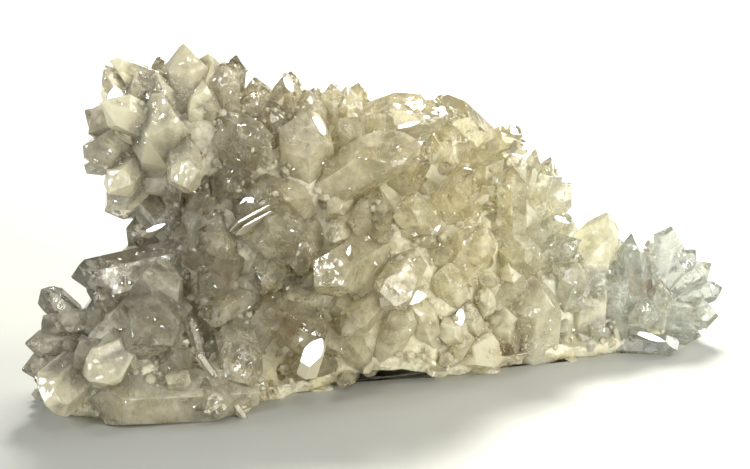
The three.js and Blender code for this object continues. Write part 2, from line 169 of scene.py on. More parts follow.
# The points on the front: root across and up, tip across and up, lean towards the eye in
# degrees, width, habit, turn, and how far back one stands that is behind its neighbours.
frontPoints = {
    "lowerLeft": [
        (-91, 25, -101, 34, 10, 10, "blunt", 10),
        (-91, 21, -100, 23, 40, 8, "threeFaced", 35),
        (-92, 17, -105, 17, 15, 9, "even", 0),
        (-86, 24, -94, 23, 45, 8, "chisel", 20),
        (-80, 31, -87, 20, 35, 10, "threeFaced", 0),
        (-60, 40, -90, 33, 18, 18, "oneFaced", 200),
        (-65, 25, -72, 17, 62, 24, "threeFaced", 40),
        (-76, 15, -83, 8, 50, 14, "oneFaced", 25),
        (-62, 9, -56, 15, 40, 9, "even", 5),
        (-48, 2, -88, 0, 6, 19, "blunt", 30),
        (-89, 8, -101, -2, 30, 17, "oneFaced", 180),
        (-96, 11, -106, 9, 5, 9, "even", 15),
        (-41, -3, -54, 15, 10, 3, "even", 0),
        (-53, 15, -56, 26, 10, 4, "blunt", 0),
        (-72, 20, -77, 27, 45, 9, "threeFaced", 10),
        (-80, 12, -90, 14, 35, 12, "threeFaced", 20),
        (-46, 2, -52, -4, 45, 11, "blunt", 0),
    ],
    "lowerMiddle": [
        (-43, 21, -38, 4, 45, 15, "blunt", 20),
        (-38, 16, -27, 32, 12, 11, "chisel", 0),
        (-31, 26, -14, 16, 28, 14, "oneFaced", 20),
        (-25, 6, -38, 1, 30, 13, "blunt", 0),
        (-14, 12, -26, 8, 25, 11, "even", 10),
        (-8, 16, -20, 22, 35, 10, "threeFaced", 0),
        (-5, 14, -11, 22, 25, 11, "even", 20),
    ],
    "leftColumn": [
        (-53, 53, -55, 38, 15, 9, "blunt", 0),
        (-43, 42, -52, 31, 35, 12, "threeFaced", 20),
        (-37, 33, -51, 24, 14, 10, "chisel", 0),
        (-31, 43, -34, 34, 55, 12, "even", 30),
        (-48, 52, -45, 42, 35, 10, "even", 0),
        (-37, 54, -23, 46, 45, 19, "threeFaced", 10),
        (-38, 60, -27, 66, 15, 10, "even", 0),
        (-22, 58, -28, 65, 40, 10, "oneFaced", 0),
        (-43, 69, -45, 60, 40, 12, "blunt", 15),
        (-20, 50, -25, 40, 35, 13, "chisel", 10),
    ],
    "upperMiddle": [
        (-44, 80, -34, 74, 50, 17, "threeFaced", 0),
        (-21, 72, -21, 86, 25, 20, "threeFaced", 10),
        (-13, 64, 10, 79, 16, 18, "oneFaced", 200),
        (-6, 80, 20, 89, 8, 17, "oneFaced", 190),
        (38, 72, 20, 89, 0, 12, "oneFaced", 0, 8),
        (31, 74, 44, 80, 0, 11, "chisel", 20, 10),
        (33, 66, 33, 77, 15, 9, "blunt", 0),
        (22, 67, 22, 85, 5, 15, "even", 10, 8),
        (17, 68, 17, 81, 5, 13, "chisel", 0, 8),
        (8, 65, 15, 78, 30, 12, "threeFaced", 0),
        (16, 52, 7, 60, 40, 13, "blunt", 10),
        (20, 57, 32, 66, 32, 15, "oneFaced", 0),
        (-30, 78, -31, 88, 35, 10, "chisel", 0),
        (-10, 76, -5, 85, 30, 11, "even", 0),
    ],
    "centre": [
        (-1, 45, -18, 34, 30, 17, "threeFaced", 15),
        (0, 30, -10, 19, 25, 11, "even", 0),
        (4, 17, 11, 29, 22, 11, "chisel", 10),
        (16, 21, 12, 31, 35, 10, "oneFaced", 0),
        (26, 40, 33, 53, 30, 15, "even", 20),
        (37, 50, 49, 38, 30, 13, "threeFaced", 0),
        (24, 32, 19, 40, 40, 12, "blunt", 0),
        (32, 18, 25, 30, 30, 9, "even", 10),
        (37, 30, 31, 37, 45, 10, "even", 0),
        (28, 16, 20, 23, 45, 9, "threeFaced", 20),
        (43, 33, 40, 41, 40, 9, "even", 0),
        (41, 45, 41, 71, 12, 11, "even", 0),
        (10, 40, 4, 30, 40, 14, "chisel", 20),
    ],
    "rightSide": [
        (49, 57, 53, 73, 3, 11, "even", 15),
        (51, 56, 59, 65, 12, 11, "threeFaced", 0),
        (46, 48, 59, 54, 8, 9, "chisel", 0),
        (49, 42, 62, 48, 8, 10, "even", 20),
        (47, 15, 49, 38, 18, 20, "blunt", 0),
        (38, 15, 37, 31, 28, 16, "blunt", 20),
        (63, 17, 66, 55, 5, 18, "oneFaced", 215),
        (79, 20, 77, 50, 2, 12, "even", 20),
        (66, 15, 61, 20, 35, 8, "even", 0),
        (71, 17, 91, 16, 12, 8, "chisel", 0),
        (73, 22, 72, 42, 12, 9, "even", 5),
        (57, 30, 61, 41, 20, 11, "threeFaced", 0),
    ],
    "rightEnd": [
        (86, 34, 89, 52, 3, 13, "threeFaced", 0),
        (84, 37, 82, 48, 0, 9, "even", 10),
        (86, 34, 97, 46, 12, 12, "blunt", 0),
        (87, 32, 101, 41, 10, 10, "even", 20),
        (89, 29, 105, 34, 10, 8, "blunt", 0),
        (88, 27, 103, 25, 12, 12, "threeFaced", 0),
        (87, 22, 98, 19, 10, 10, "even", 0),
        (82, 30, 79, 22, 50, 10, "threeFaced", 0),
        (84, 22, 86, 36, 22, 10, "even", 30),
    ],
    "upperLeft": [
        (-73, 86, -81, 100, 8, 8, "chisel", 0),
        (-60, 92, -80, 99, 5, 11, "oneFaced", 200),
        (-72, 84, -75, 96, 20, 11, "oneFaced", 190),
        (-56, 90, -57.5, 107, 0, 15, "even", 20),
        (-50, 92, -50, 105.5, 0, 14, "blunt", 0),
        (-43, 91, -41.5, 103.5, 0, 9, "even", 0),
        (-45, 88, -46, 101, 10, 12, "threeFaced", 0),
        (-64, 88, -66, 100, 5, 15, "blunt", 10),
        (-80, 82, -87, 87, 5, 8, "even", 0),
        (-77, 85, -86, 80, 30, 13, "even", 0),
        (-76, 77, -87, 70, 32, 14, "threeFaced", 20),
        (-72, 70, -80, 62, 35, 12, "even", 10),
        (-65, 75, -62, 89, 25, 18, "chisel", 30),
        (-71, 65, -80, 57, 14, 11, "threeFaced", 0),
        (-67, 60, -59, 51, 28, 11, "chisel", 0),
        (-67, 55, -74, 46, 12, 9, "even", 0),
        (-58, 75, -56, 63, 48, 12, "blunt", 0),
        (-51, 63, -55, 50, 28, 10, "even", 10),
    ],
    "topRidge": [
        (-27, 84, -28, 97.5, 8, 12, "oneFaced", 200),
        (-34, 84, -36, 97, 5, 15, "even", 10),
        (-20, 83, -20, 94.5, 5, 14, "blunt", 0),
        (-12, 84, -13, 95, 5, 9, "even", 0),
        (-8, 82, -8, 93, 8, 13, "chisel", 0),
        (-5, 86, -5, 96, 3, 7, "blunt", 0),
        (2, 80, 2, 91, 5, 12, "even", 20),
    ],
}

# Smaller points over the bare places between those, with the same numbers in each row.
smallFrontPoints = [
    (-8, 54, -13, 47, 35, 8, "even", 0),
    (-3, 57, -6, 50, 35, 9, "chisel", 0),
    (3, 54, 1, 47, 30, 8, "threeFaced", 10),
    (-9, 59, -15, 56, 30, 8, "blunt", 20),
    (1, 60, 3, 53, 30, 7, "oneFaced", 0),
    (-6, 50, -9, 44, 30, 7, "threeFaced", 0),
    (-83, 33, -79, 26, 35, 8, "even", 0),
    (-80, 27, -83, 33, 30, 7, "chisel", 10),
    (24, 14, 27, 20, 35, 7, "blunt", 0),
    (34, 13, 31, 19, 30, 7, "threeFaced", 0),
    (30, 10, 35, 12, 35, 6, "even", 10),
    (93, 30, 100, 31, 20, 9, "blunt", 0),
    (90, 24, 98, 22, 25, 9, "even", 15),
    (90, 36, 96, 38, 20, 9, "threeFaced", 0),
]

# The cluster's outline on the front, which smaller crystals keep inside.
frontOutline = [
    (-82, 100), (-76, 100), (-67, 101), (-58, 107), (-50, 106), (-42, 104), (-37, 98), (-27, 98),
    (-13, 95), (-5, 96), (8, 88), (19, 91), (38, 84), (45, 79), (52, 73), (58, 65), (57, 58),
    (62, 54), (66, 53), (71, 52), (76, 49), (81, 47), (88, 52), (97, 47), (101, 41), (105, 34),
    (103, 25), (98, 19), (93, 13), (50, 9), (20, 6), (-8, 5), (-22, 1), (-52, -8), (-88, -9),
    (-104, -3), (-106, 10), (-103, 24), (-101, 34), (-90, 37), (-80, 46), (-74, 44), (-76, 52),
    (-81, 56), (-87, 72), (-87, 87), (-83, 90),
]


# a place seen at (across, rise), some way beyond the plane of sight
def seen(across, rise, beyond):
    spread = (sight["distance"] + beyond) / sight["distance"]
    inPlane = toRight * across + toTop * (rise - sight["middleUp"])
    return sight["middle"] + awayFromEye * beyond + inPlane * spread


# where a place in space is seen, as (across, rise)
def seenAt(place):
    offset = place - sight["middle"]
    shrink = sight["distance"] / (sight["distance"] + offset.dot(awayFromEye))
    return offset.dot(toRight) * shrink, offset.dot(toTop) * shrink + sight["middleUp"]


def insideFrontOutline(place):
    across, rise = seenAt(place)
    inside = False
    for i, (fromAcross, fromRise) in enumerate(frontOutline):
        toAcross, toRise = frontOutline[(i + 1) % len(frontOutline)]
        if (fromRise > rise) != (toRise > rise):
            share = (rise - fromRise) / (toRise - fromRise)
            if across < fromAcross + share * (toAcross - fromAcross):
                inside = not inside
    return inside


# how far beyond the plane of sight the mass is met, or where it is missed, passed closest
def depthOfMass(across, rise):
    line = seen(across, rise, 0) - eye
    hit = math.inf
    closest = (math.inf, 1)
    for x, y, z, rx, ry, rz in lumps.values():
        start = Vector(((eye.x - x) / rx, (eye.y - y) / ry, (eye.z - z) / rz))
        step = Vector((line.x / rx, line.y / ry, line.z / rz))
        share = -start.dot(step) / step.length_squared
        miss = (start + step * share).length_squared
        if miss < 1:
            hit = min(hit, share - math.sqrt((1 - miss) / step.length_squared))
        closest = min(closest, (miss, share))
    return ((hit if hit < math.inf else closest[1]) - 1) * sight["distance"]


def insideAnother(point, own, share=0.97):
    for name, (x, y, z, rx, ry, rz) in lumps.items():
        offset = Vector(((point.x - x) / rx, (point.y - y) / ry, (point.z - z) / rz))
        if name != own and offset.length < share:
            return True
    return False


def onlySelect(thing):
    bpy.ops.object.select_all(action="DESELECT")
    thing.select_set(True)
    bpy.context.view_layer.objects.active = thing


# One crystal a unit wide, along +Z with its tip at the origin, cut with the tip faces of a habit.
def modelCrystal(name, habit, ledged, small=False):
    bpy.ops.object.select_all(action="DESELECT")
    length = quartz["masterLength"]
    bpy.ops.mesh.primitive_cylinder_add(
        vertices=6, radius=0.5, depth=length + 1, location=(0, 0, (1 - length) / 2)
    )
    crystal = bpy.context.object
    crystal.name = name
    bpy.ops.object.transform_apply(location=True)
    narrowed = 1 - quartz["endNarrowing"] * (length + 1) / length
    for corner in crystal.data.vertices:
        corner.select = corner.co.z > 0
    bpy.ops.object.mode_set(mode="EDIT")
    bpy.ops.transform.resize(value=(narrowed, narrowed, 1), center_override=(0, 0, 1))
    if not small:
        bpy.ops.mesh.select_all(action="SELECT")
        bpy.ops.mesh.bisect(plane_co=(0, 0, quartz["bareTo"]), plane_no=(0, 0, 1))
    for face, setOut in enumerate(quartz["habits"][habit]):
        turn = face * math.pi / 3
        slope = quartz["tipSlope"]
        outwards = Vector(
            (math.sin(slope) * math.cos(turn), math.sin(slope) * math.sin(turn), math.cos(slope))
        )
        bpy.ops.mesh.select_all(action="SELECT")
        bpy.ops.mesh.bisect(
            plane_co=outwards * setOut * math.sin(slope),
            plane_no=outwards,
            use_fill=True,
            clear_outer=True,
        )
    if ledged:
        for height in quartz["ledges"]:
            for offset in (0, -0.02):
                bpy.ops.mesh.select_all(action="SELECT")
                bpy.ops.mesh.bisect(plane_co=(0, 0, height + offset), plane_no=(0, 0, 1))
    bpy.ops.object.mode_set(mode="OBJECT")
    if ledged:
        for step, height in enumerate(quartz["ledges"]):
            wider = 1 + quartz["ledgeStep"] * (1 if step % 2 else 0.5)
            for corner in crystal.data.vertices:
                if quartz["bareTo"] + 0.01 < corner.co.z < height - 0.01:
                    corner.co.x *= wider
                    corner.co.y *= wider
    if not small:
        onlySelect(crystal)
        edging = crystal.modifiers.new("edging", "BEVEL")
        edging.width = quartz["chamfer"]
        edging.segments = 1
        edging.limit_method = "ANGLE"
        edging.angle_limit = math.radians(15)
        bpy.ops.object.modifier_apply(modifier="edging")
    for label in ("clarity", "along", "milk", "tone"):
        crystal.data.attributes.new(label, "FLOAT", "POINT")
    return crystal


masters = {}
for habitName in quartz["habits"]:
    masters[habitName, True] = modelCrystal(habitName + "Ledged", habitName, True)
    masters[habitName, False] = modelCrystal(habitName + "Plain", habitName, False)
drusePoint = modelCrystal("drusePoint", "even", False, small=True)
flatPoint = modelCrystal("flatPoint", "oneFaced", False, small=True)
habitNames = list(quartz["habits"])
print("crystals modelled")


# Where the crystals are milky rather than clear: x, z, reach in x and in z, and how much.
milkyPlaces = {
    "aboveTheBase": (38, 12, 50, 26, 0.8),
    "lowerLeft": (-80, 12, 36, 30, 0.5),
    "leftTop": (-66, 84, 28, 34, 0.95),
    "topColumns": (6, 84, 34, 14, 0.4),
    "middle": (-2, 50, 24, 20, 0.3),
}


def milkiness(place):
    most = 0
    for x, z, reachX, reachZ, much in milkyPlaces.values():
        off = math.hypot((place.x - x) / reachX, (place.z - z) / reachZ)
        most = max(most, much * min(1, 2 * max(0, 1 - off)))
    return most


# whether a mesh keeps inside the box of the solid
def insideBox(mesh):
    low, high = boundsBefore
    return all(
        low[axis] <= corner.co[axis] <= high[axis] for corner in mesh.vertices for axis in range(3)
    )


# A copy of a master grown from root to tip and buried at its root, in the frame's metres.
def grow(master, root, tip, width, turnDegrees, flatness=1, tone=0.5, buried=None, turned=None):
    along = tip - root
    pinched = 1
    if buried is None:
        buried = quartz["rootedWidths"] * width + quartz["rootedExtra"]
        pinched = quartz["pinched"]
    bare = max(along.length / width, quartz["shortestBare"])
    mesh = master.data.copy()
    clarity = mesh.attributes["clarity"].data
    alongAxis = mesh.attributes["along"].data
    milk = milkiness((root + tip) / 2) * min(1, width / 12) + 0.5 * (tone - 0.5)
    for label, value in (("milk", milk), ("tone", tone)):
        mesh.attributes[label].data.foreach_set("value", [value] * len(mesh.vertices))
    for i, corner in enumerate(mesh.vertices):
        if corner.co.z < quartz["bareTo"] - 0.05:
            corner.co.z = -bare - buried / width
            corner.co.x *= pinched
            corner.co.y *= pinched
        elif corner.co.z < quartz["bareTo"] + 0.05:
            corner.co.z = -bare
        below = -corner.co.z * width
        clarity[i].value = max(0, 1 - below / max(along.length, 0.1))
        alongAxis[i].value = below
    turned = turned or up.rotation_difference(along).to_matrix().to_4x4()
    mesh.transform(
        toFrame
        @ Matrix.Translation(tip)
        @ turned
        @ Matrix.Rotation(math.radians(turnDegrees), 4, "Z")
        @ Matrix.Diagonal((width, width * flatness, width, 1))
    )
    return mesh


def pickMaster(habit, bareInWidths):
    return masters[habit, bareInWidths > quartz["ledgedFrom"]]


def growFrontPoint(row, dice):
    rootAcross, rootUp, tipAcross, tipUp, lean, width, habit, turn = row[:8]
    back = row[8] if len(row) > 8 else 0
    run = math.hypot(tipAcross - rootAcross, tipUp - rootUp)
    beyond = depthOfMass(rootAcross, rootUp) + back
    halfWay = depthOfMass((rootAcross + tipAcross) / 2, (rootUp + tipUp) / 2) + back
    clearing = 2 * (beyond - halfWay) - quartz["shoulderSunk"] * width
    rise = max(run * math.tan(math.radians(lean)), clearing)
    root = seen(rootAcross, rootUp, beyond + quartz["sunk"] * width)
    tip = seen(tipAcross, tipUp, beyond - rise)
    master = pickMaster(habit, (tip - root).length / width)
    return grow(master, root, tip, width, turn, tone=dice.random())


# The part's own repeatable stream of numbers, so its scattered crystals come out the same.
def partDice(seed):
    state = seed
    while True:
        state = (state * 1664525 + 1013904223) & 0xFFFFFFFF
        yield state / 4294967296


scattered = {
    "seed": 20,
    "placesRound": {
        "lowerLeft": 14, "neck": 8, "upperLeft": 16, "ridge": 14, "centre": 16,
        "centreRight": 16, "right": 14, "backCentre": 31, "backRight": 18, "backLeft": 18,
    },
    "width": (12, 22),
    "lengthInWidths": (0.5, 1.3),
    "spreadDegrees": 20,
    "lowest": 7,
    "frontShare": 0.1,
    "frontFrom": -0.15,
    "frontNarrowing": 0.6,
    "lowBelow": 30,
    "leastRise": 0.15,
    "mostDrop": -0.25,
}
# Smaller crystals that fill in between, over the same lumps.
between = dict(
    scattered,
    seed=5,
    placesRound={name: round(rx * rz / 9) for name, (x, y, z, rx, ry, rz) in lumps.items()},
    width=(3.5, 9),
    lengthInWidths=(0.35, 1.2),
    spreadDegrees=34,
    lowest=3,
    frontShare=1,
)
goldenAngle = math.pi * (3 - math.sqrt(5))


def growScattered(how):
    stream = partDice(how["seed"])
    roll = lambda: next(stream)
    pick = lambda low, high: low + (high - low) * roll()
    spread = math.tan(math.radians(how["spreadDegrees"]))
    tones = random.Random(how["seed"])
    grown = []
    for name, places in how["placesRound"].items():
        x, y, z, rx, ry, rz = lumps[name]
        for place in range(places):
            height = 1 - (2 * place + 1) / places
            heading = goldenAngle * place + roll()
            flat = math.sqrt(1 - height * height)
            unit = Vector((flat * math.cos(heading), flat * math.sin(heading), height))
            root = Vector((x + rx * unit.x, y + ry * unit.y, z + rz * unit.z))
            onFront = unit.y < how["frontFrom"]
            if root.z < how["lowest"] or insideAnother(root, name):
                continue
            if onFront and roll() > how["frontShare"]:
                continue
            outwards = Vector((unit.x / rx, unit.y / ry, unit.z / rz)).normalized()
            outwards += Vector((roll() - 0.5, roll() - 0.5, roll() - 0.5)) * 2 * spread
            outwards.normalize()
            low = root.z < how["lowBelow"]
            outwards.z = max(outwards.z, how["leastRise"] if low else how["mostDrop"])
            outwards.normalize()
            narrowing = how["frontNarrowing"] if onFront and how is scattered else 1
            width = pick(*how["width"]) * narrowing
            length = pick(*how["lengthInWidths"]) * width
            habit = habitNames[math.floor(roll() * len(habitNames))]
            tip = root + outwards * length
            if not insideFrontOutline(tip):
                continue
            master = pickMaster(habit, length / width)
            turn = 60 * roll()
            flatness = 0.8 + 0.2 * roll()
            mesh = grow(master, root, tip, width, turn, flatness, tone=tones.random())
            if how is scattered or insideBox(mesh):
                grown.append(mesh)
    return grown


def linked(name, mesh):
    thing = bpy.data.objects.new(name, mesh)
    bpy.context.scene.collection.objects.link(thing)
    return thing


# one object made of many small meshes
def gathered(name, meshes):
    together = bmesh.new()
    for mesh in meshes:
        together.from_mesh(mesh)
        bpy.data.meshes.remove(mesh)
    whole = bpy.data.meshes.new(name)
    together.to_mesh(whole)
    together.free()
    return linked(name, whole)


# All the larger crystals joined into one solid.
dice = random.Random(3)
crystalMeshes = [growFrontPoint(row, dice) for rows in frontPoints.values() for row in rows]
crystalMeshes += growScattered(scattered)
print("large crystals", len(crystalMeshes))
crystalMeshes += growScattered(between)
crystalMeshes += [growFrontPoint(row, dice) for row in smallFrontPoints]
print("with those between", len(crystalMeshes))
clearCrystals = linked("clearCrystals", crystalMeshes[0])
others = bpy.data.collections.new("others")
bpy.context.scene.collection.children.link(others)
for number, mesh in enumerate(crystalMeshes[1:]):
    others.objects.link(bpy.data.objects.new("crystal%d" % number, mesh))
onlySelect(clearCrystals)
joining = clearCrystals.modifiers.new("joining", "BOOLEAN")
joining.operation = "UNION"
joining.solver = "MANIFOLD"
joining.operand_type = "COLLECTION"
joining.collection = others
bpy.ops.object.modifier_apply(modifier="joining")
for thing in list(others.objects):
    bpy.data.objects.remove(thing)
bpy.data.collections.remove(others)
# cut off flat where the cluster rests
bpy.ops.object.mode_set(mode="EDIT")
bpy.ops.mesh.select_all(action="SELECT")
bpy.ops.mesh.bisect(plane_co=(0, 0, 0), plane_no=(0, 0, -1), use_fill=True, clear_outer=True)
bpy.ops.object.mode_set(mode="OBJECT")
clearCrystals.data.validate()
print("crystals joined", len(clearCrystals.data.polygons), "faces")


# The milky rock that the crystals stand on: lumps and a low plate, remeshed and broken up.
milkyRock = {
    "plateOutline": [
        (-95, -10), (-84, -20), (-52, -20), (-30, -2), (-12, 10), (18, 18), (48, 30), (72, 40),
        (93, 50), (94, 70), (70, 88), (20, 90), (-34, 82), (-70, 66), (-90, 30),
    ],
    "plateThick": 7.5,
    "voxel": 1.3,
    "crags": 5.0,
    "cragSize": 11,
    "grain": 1.1,
    "grainSize": 2.6,
    "hollow": (3, 13, 15.5, 15, 5.6),
    "undercut": 2.5,
    "undercutHigh": 3.0,
}


# the low dark arch under the front edge
def hollowOut(rock):
    x, y, halfWide, halfDeep, high = milkyRock["hollow"]
    bpy.ops.object.select_all(action="DESELECT")
    bpy.ops.mesh.primitive_ico_sphere_add(subdivisions=4, radius=1, location=(0, 0, 0))
    ball = bpy.context.object
    ball.data.transform(
        toFrame @ Matrix.Translation((x, y, 0)) @ Matrix.Diagonal((halfWide, halfDeep, high, 1))
    )
    onlySelect(rock)
    cut = rock.modifiers.new("hollow", "BOOLEAN")
    cut.operation = "DIFFERENCE"
    cut.solver = "MANIFOLD"
    cut.object = ball
    bpy.ops.object.modifier_apply(modifier="hollow")
    bpy.data.objects.remove(ball)


def modelRock():
    parts = []
    for name, (x, y, z, rx, ry, rz) in lumps.items():
        bpy.ops.object.select_all(action="DESELECT")
        bpy.ops.mesh.primitive_ico_sphere_add(subdivisions=3, radius=1, location=(0, 0, 0))
        ball = bpy.context.object
        ball.data.transform(
            toFrame @ Matrix.Translation((x, y, z)) @ Matrix.Diagonal((rx, ry, rz, 1))
        )
        parts.append(ball)
    bpy.ops.object.select_all(action="DESELECT")
    outline = milkyRock["plateOutline"]
    bpy.ops.mesh.primitive_circle_add(vertices=len(outline), radius=1, fill_type="NGON")
    slab = bpy.context.object
    for corner, (x, y) in zip(slab.data.vertices, reversed(outline)):
        corner.co = placed((x, y, -2))
    bpy.ops.object.mode_set(mode="EDIT")
    bpy.ops.mesh.select_all(action="SELECT")
    bpy.ops.mesh.extrude_region_move(
        TRANSFORM_OT_translate={"value": (0, 0, milkyRock["plateThick"] * mm)}
    )
    bpy.ops.mesh.select_all(action="SELECT")
    bpy.ops.mesh.normals_make_consistent(inside=False)
    bpy.ops.object.mode_set(mode="OBJECT")
    for ball in parts:
        ball.select_set(True)
    slab.select_set(True)
    bpy.context.view_layer.objects.active = slab
    bpy.ops.object.join()
    rock = bpy.context.object
    rock.name = "milkyRock"
    evening = rock.modifiers.new("evening", "REMESH")
    evening.mode = "VOXEL"
    evening.voxel_size = milkyRock["voxel"] * mm
    bpy.ops.object.modifier_apply(modifier="evening")
    crags = bpy.data.textures.new("crags", "VORONOI")
    crags.noise_scale = milkyRock["cragSize"] * mm
    crags.distance_metric = "DISTANCE"
    grain = bpy.data.textures.new("grain", "VORONOI")
    grain.noise_scale = milkyRock["grainSize"] * mm
    for label, texture, height in (
        ("crags", crags, milkyRock["crags"]),
        ("grain", grain, milkyRock["grain"]),
    ):
        bumps = rock.modifiers.new(label, "DISPLACE")
        bumps.texture = texture
        bumps.texture_coords = "LOCAL"
        bumps.mid_level = 0.35
        bumps.strength = -height * mm
        bpy.ops.object.modifier_apply(modifier=label)
    hollowOut(rock)
    # undercut all round, so that only the middle of the break rests
    sideways = [Vector((corner.normal.x, corner.normal.y, 0)) for corner in rock.data.vertices]
    for corner, outwards in zip(rock.data.vertices, sideways):
        under = max(0, 1 - corner.co.z / (milkyRock["undercutHigh"] * mm))
        if under > 0 and outwards.length > 0.01:
            corner.co -= outwards.normalized() * min(1, under) * milkyRock["undercut"] * mm
    bpy.ops.object.mode_set(mode="EDIT")
    bpy.ops.mesh.select_all(action="SELECT")
    bpy.ops.mesh.bisect(plane_co=(0, 0, 0), plane_no=(0, 0, -1), use_fill=True, clear_outer=True)
    bpy.ops.object.mode_set(mode="OBJECT")
    rock.data.validate()
    return rock


rock = modelRock()
print("rock", len(rock.data.polygons), "faces")


# Fine druse: small crystals over the rock wherever no larger one covers it.
druse = {
    "count": 2600,
    "width": (1.2, 3.4),
    "lengthInWidths": (0.8, 1.9),
    "lean": 0.275,
    "smallness": 2,
    "lowest": 2.0,
    "lowestTip": 1,
    "steepest": -0.5,
    "buried": 0.4,
}


def growDruse():
    dice = random.Random(11)
    clear = BVHTree.FromObject(clearCrystals, bpy.context.evaluated_depsgraph_get())
    faces = list(rock.data.polygons)
    areas = [face.area for face in faces]
    meshes = []
    for face in dice.choices(faces, weights=areas, k=druse["count"]):
        root = backToTable @ face.center
        out = face.normal.copy()
        lean = Vector((dice.gauss(0, 1), dice.gauss(0, 1), dice.gauss(0, 1))) * druse["lean"]
        out = (out + lean).normalized()
        low, high = druse["width"]
        width = low + (high - low) * dice.random() ** druse["smallness"]
        tip = root + out * width * dice.uniform(*druse["lengthInWidths"])
        turn = 60 * dice.random()
        tone = dice.random()
        if root.z < druse["lowest"] or tip.z < druse["lowestTip"]:
            continue
        if face.normal.z < druse["steepest"]:
            continue
        near, normal, index, distance = clear.find_nearest(toFrame @ tip)
        if (toFrame @ tip - near).dot(normal) < 0 or not insideFrontOutline(tip):
            continue
        buried = druse["buried"] * width
        meshes.append(grow(drusePoint, root, tip, width, turn, 1, tone, buried=buried))
    meshes = [mesh for mesh in meshes if insideBox(mesh)]
    return gathered("smallCrystals", meshes), len(meshes)


smallCrystals, druseCount = growDruse()
print("druse", druseCount, "crystals,", len(smallCrystals.data.polygons), "faces")

# Single faces that mirror a lamp: across, up, width, flatness, and the way they point as seen
# from the front, in degrees from the right; and the lamp, where it isn't the window.
mirrors = [
    (-18, 15.5, 8.5, 0.85, 60),
    (12, 31, 9.5, 0.6, 10, "lampRight"),
    (-16.5, 81.5, 6.5, 0.7, 310),
    (-25.5, 94, 5, 0.6, 300),
    (-37.8, 59.7, 4.2, 0.95, 30),
    (-35.2, 56.6, 10, 0.09, 27),
    (-34.2, 55, 9, 0.07, 27),
    (11, 82.8, 6.5, 0.3, 10),
    (-65, 52, 6, 0.35, 20),
    (25.5, 25.5, 5, 0.8, 90),
    (84, 18.5, 9, 0.3, 340),
    (-78, 91, 8, 0.9, 95),
    (-7.8, 45, 4, 0.35, 80),
    (22.5, 69.5, 5, 0.3, 20),
    (18.5, 51.3, 4.2, 0.35, 45),
]
mirrorProud = 0.3
# Grains grown on the larger crystals' faces; some are turned so that they catch a lamp.
grains = {
    "tries": 20000,
    "width": (0.5, 1.8),
    "lengthInWidths": (0.4, 1.1),
    "flashShare": 0.45,
    "lean": 0.35,
    "smallness": 2.5,
    "everywhere": 0.3,
    "flashesOnly": 0.28,
    "lowest": 3,
    "steepest": -0.7,
    "buried": 0.3,
    "flashWidth": 0.6,
    "flashFlatness": 0.6,
    "flashProud": 0.1,
    "flatAbove": 0.25,
    "flatBuried": 0.3,
    "core": 1.3,
    # across, up, reach, share
    "thick": (
        (-32, 88, 30, 1.0), (-66, 96, 22, 0.9), (-45, 60, 16, 0.5), (20, 62, 34, 0.5),
        (-44, 18, 10, 0.5), (30, 17, 34, 0.8), (68, 20, 26, 0.6),
    ),
}


# the turn that lets a crystal's first tip face look along a direction, and point as asked
def turnedToFace(direction, pointing):
    side = direction.cross(toRight * math.cos(pointing) + toTop * math.sin(pointing)).normalized()
    axis = Matrix.Rotation(quartz["tipSlope"], 3, side) @ direction
    first = (direction - axis * direction.dot(axis)).normalized()
    turned = Matrix((first, axis.cross(first), axis)).transposed()
    return turned.to_4x4(), axis


# the direction half way between the eye and a lamp, seen from a place in the frame
def flashDirection(place, lamp):
    toEye = (placed(eye) - place).normalized()
    return (toEye + (lampPlace(lamp) - place).normalized()).normalized()


def growFlat(place, width, flatness, pointing, lamp, tone, proud):
    direction = flashDirection(toFrame @ place, lamp)
    turned, axis = turnedToFace(direction, pointing)
    tip = place + direction * proud + axis * grains["flatAbove"] * width
    root = tip - axis * width
    buried = grains["flatBuried"] * width
    return grow(flatPoint, root, tip, width, 0, flatness, tone, buried, turned)


def growMirrors(clear):
    stone = BVHTree.FromObject(rock, bpy.context.evaluated_depsgraph_get())
    meshes = []
    for row in mirrors:
        across, rise, width, flatness, pointing = row[:5]
        lamp = row[5] if len(row) > 5 else "window"
        sightLine = (seen(across, rise, 0) - eye).normalized()
        hits = [tree.ray_cast(placed(eye), sightLine) for tree in (clear, stone)]
        hit = min((found for found in hits if found[0]), key=lambda found: found[3])[0]
        place = backToTable @ hit - sightLine * mirrorProud * width
        pointing = math.radians(pointing)
        meshes.append(growFlat(place, width, flatness, pointing, lamp, tone=0.6, proud=0))
    return meshes


def grainShare(place):
    across, rise = seenAt(place)
    share = grains["everywhere"]
    for x, z, reach, much in grains["thick"]:
        away = math.hypot(across - x, rise - z) / reach
        share = max(share, much * (grains["core"] - away))
    return share


